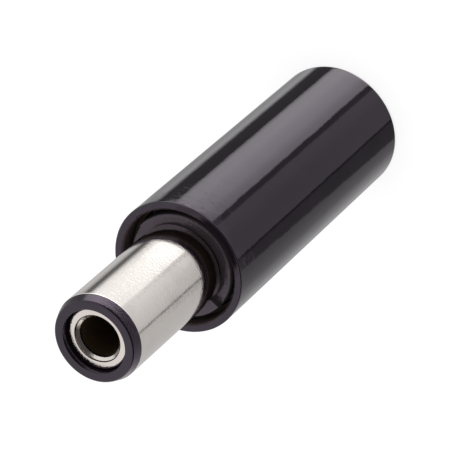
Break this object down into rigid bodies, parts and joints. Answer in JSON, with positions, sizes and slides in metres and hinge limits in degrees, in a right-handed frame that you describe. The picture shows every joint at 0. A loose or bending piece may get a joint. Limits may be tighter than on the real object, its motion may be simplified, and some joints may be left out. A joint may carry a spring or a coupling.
{
  "type": "dc barrel plug",
  "caption": "Cable-mount low-voltage power plug: screw-on hood over a base, plated outer barrel, insulating nose, flared centre contact and solder lugs.",
  "frame": {"origin": "centre of the hood's rear face, on the surface that the plug stands on", "axes": "+Z along the plug's axis from the cable hole to the tip; X along the steps between the two ramps on the base, -Y towards the strap of the sleeve lug"},
  "size_m": [0.0084, 0.0084, 0.0304],
  "materials": {
    "hood_plastic": "glossy moulded black",
    "base_plastic": "semi-matt moulded black",
    "nose_plastic": "satin moulded black",
    "barrel_nickel": "bright nickel plate on turned brass",
    "contact_nickel": "bright nickel plate on turned brass",
    "lug_tin": "tin plate on stamped brass",
    "washer_board": "brown phenolic board"
  },
  "bodies": {
    "cover": {"hood": "hood_plastic"},
    "core": {"base": "base_plastic", "outer_sleeve": "barrel_nickel", "nose_bush": "nose_plastic", "inner_contact": "contact_nickel", "sleeve_lug": "lug_tin", "insulating_washer": "washer_board", "centre_lug": "lug_tin"}
  },
  "joints": [
    {"name": "hood_pull", "type": "slide", "parent": "cover", "child": "core", "axis": [0, 0, 1], "range_m": [0, 0.018]}
  ]
}
